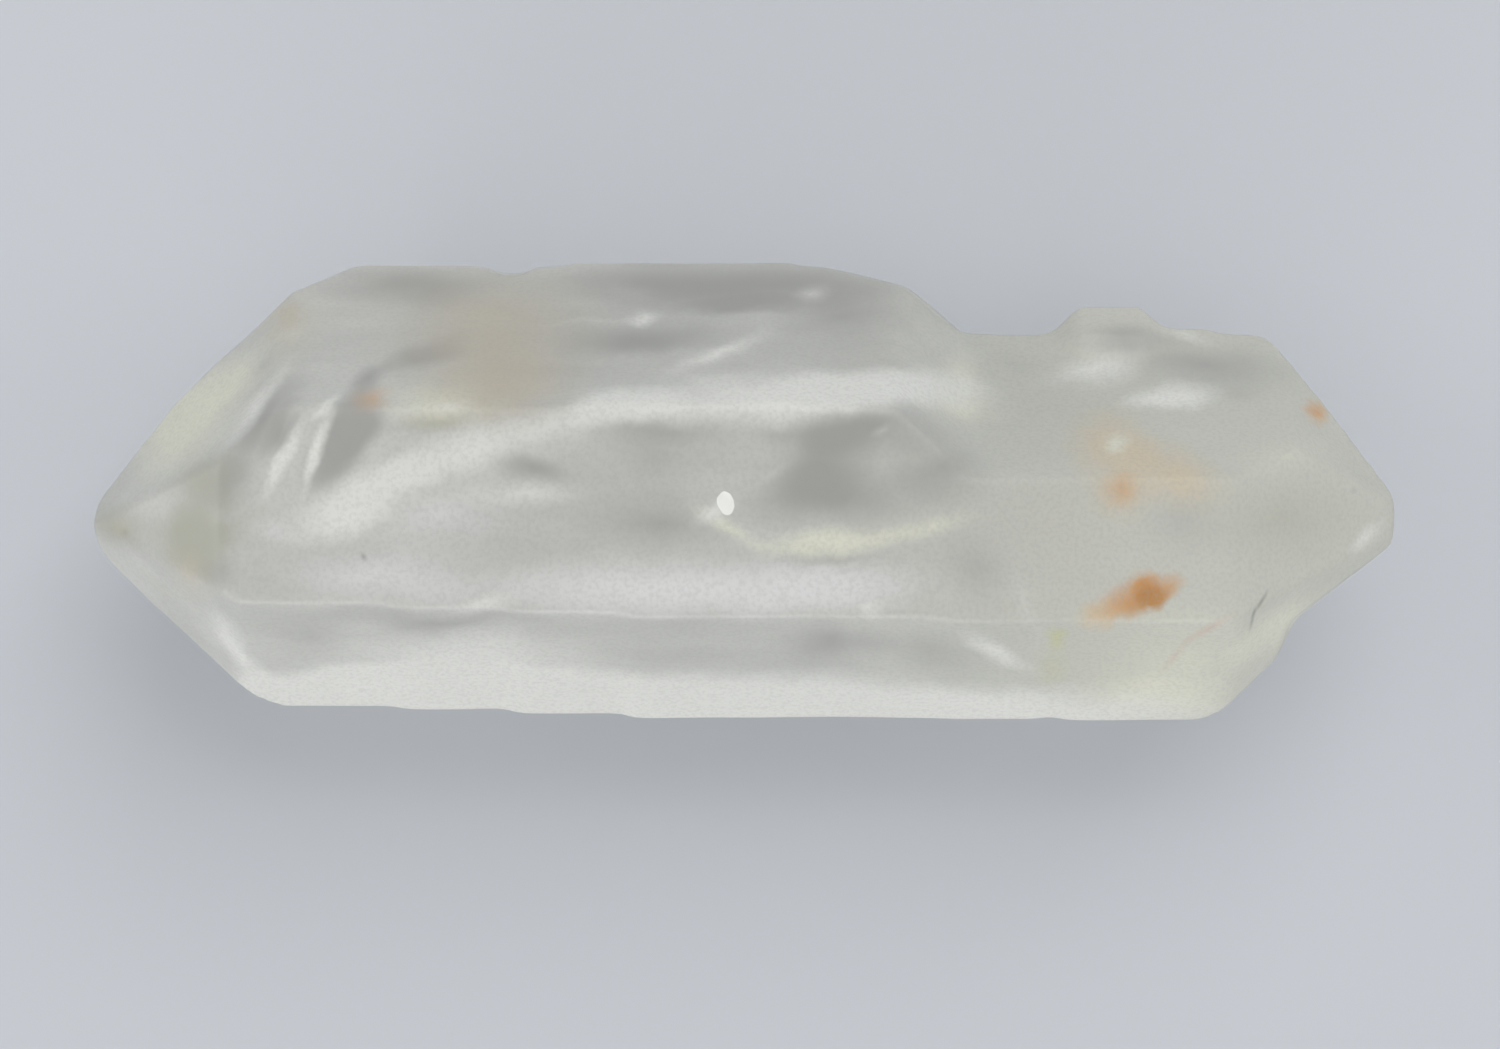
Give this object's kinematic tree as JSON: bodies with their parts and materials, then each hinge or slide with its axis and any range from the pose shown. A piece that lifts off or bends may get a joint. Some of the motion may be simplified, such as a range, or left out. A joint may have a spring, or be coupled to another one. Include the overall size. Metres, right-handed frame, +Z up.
{
  "type": "clear quartz crystal",
  "caption": "Clear six-sided quartz crystal with a point at each end, lying on one of its long faces.",
  "frame": {"origin": "under the middle of the crystal's box, on the surface that it lies on", "axes": "+X along the crystal's c axis towards its stained end, +Y away from the viewer, +Z up"},
  "size_m": [0.09, 0.0326, 0.0272],
  "materials": {
    "clear_quartz": "see-through quartz, slightly frosted, with iron stains and healed cracks"
  },
  "bodies": {
    "root": {"quartz_crystal": "clear_quartz"}
  },
  "joints": []
}
